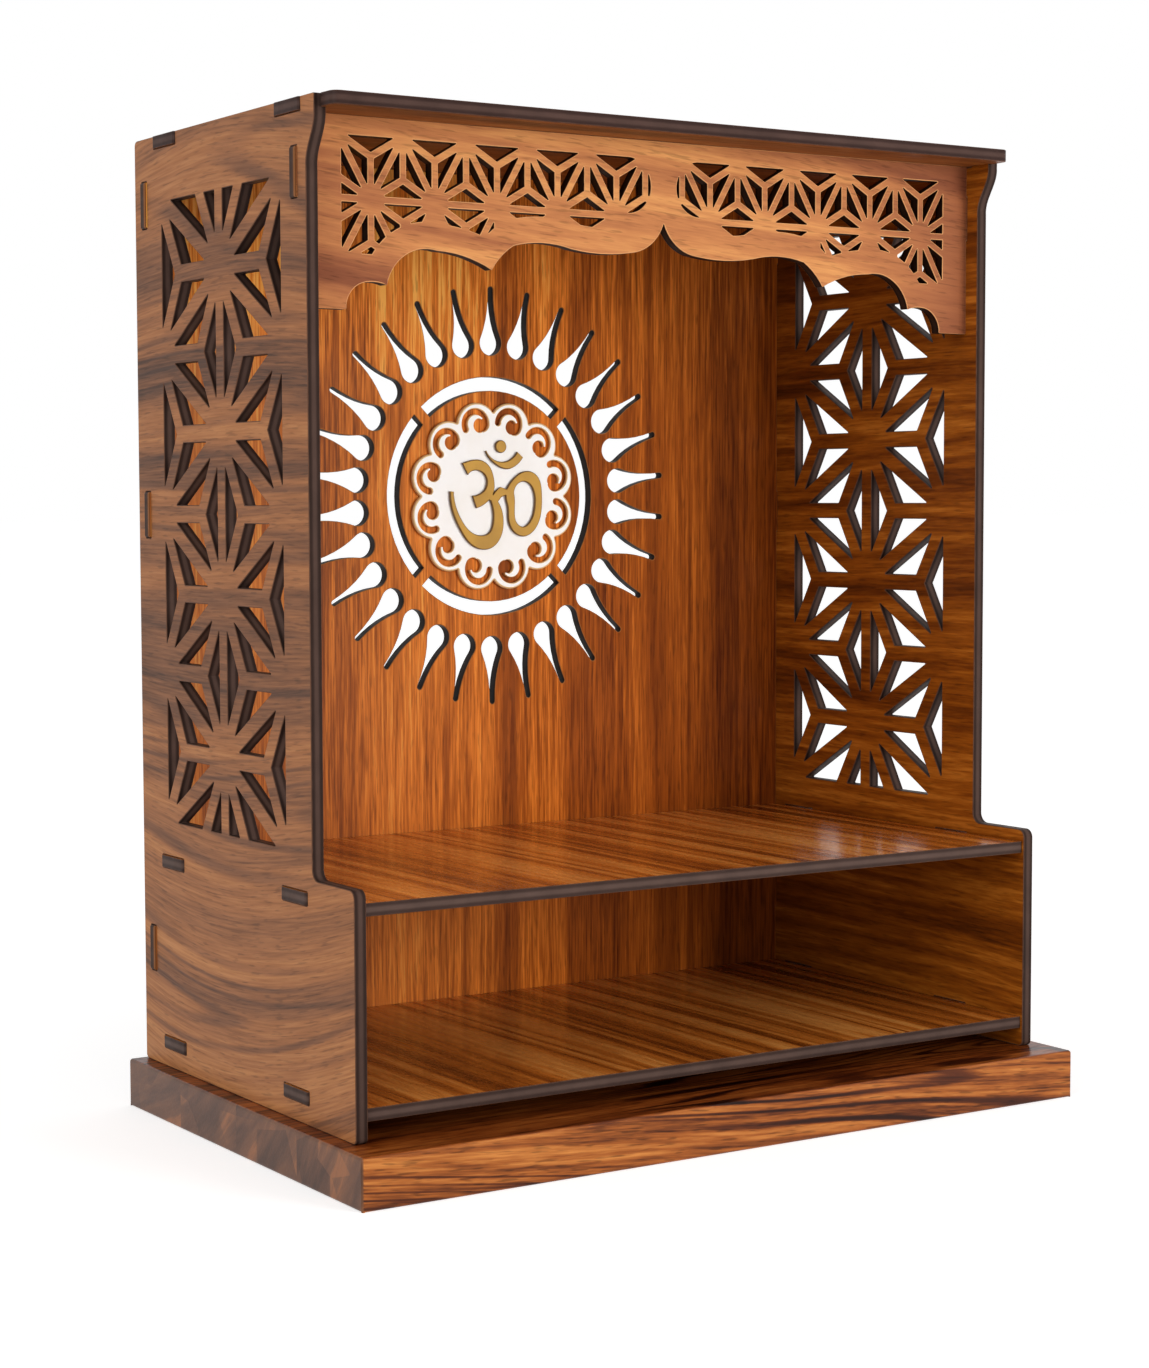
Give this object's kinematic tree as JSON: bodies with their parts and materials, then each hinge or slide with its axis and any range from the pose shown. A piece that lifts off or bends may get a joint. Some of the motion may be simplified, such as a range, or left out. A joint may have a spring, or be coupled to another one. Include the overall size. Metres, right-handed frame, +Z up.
{
  "type": "wooden home shrine cabinet",
  "caption": "Home shrine cabinet of slotted wooden boards on a solid plinth: star-lattice sides, arched fretwork valance, sunburst back with a white medallion, and an open lower shelf.",
  "frame": {"origin": "the middle of the plinth's underside, on the floor", "axes": "+Z up, +X to the right seen from the front, -Y towards the open front"},
  "size_m": [0.48, 0.29, 0.564],
  "materials": {
    "plinth_wood": "satin",
    "side_wood": "satin",
    "back_wood": "satin",
    "shelf_wood": "gloss",
    "roof_wood": "satin",
    "valance_wood": "satin",
    "white_lacquer": "satin white paint",
    "gold_lacquer": "satin gold paint"
  },
  "bodies": {
    "root": {"plinth_stave_1": "plinth_wood", "plinth_stave_2": "plinth_wood", "plinth_stave_3": "plinth_wood", "plinth_stave_4": "plinth_wood", "left_side_panel": "side_wood", "right_side_panel": "side_wood", "back_panel": "back_wood", "bottom_shelf": "shelf_wood", "main_shelf": "shelf_wood", "roof_panel": "roof_wood", "front_valance": "valance_wood", "medallion_disc": "white_lacquer", "om_letter": "gold_lacquer", "om_crescent": "gold_lacquer", "om_dot": "gold_lacquer"}
  },
  "joints": []
}
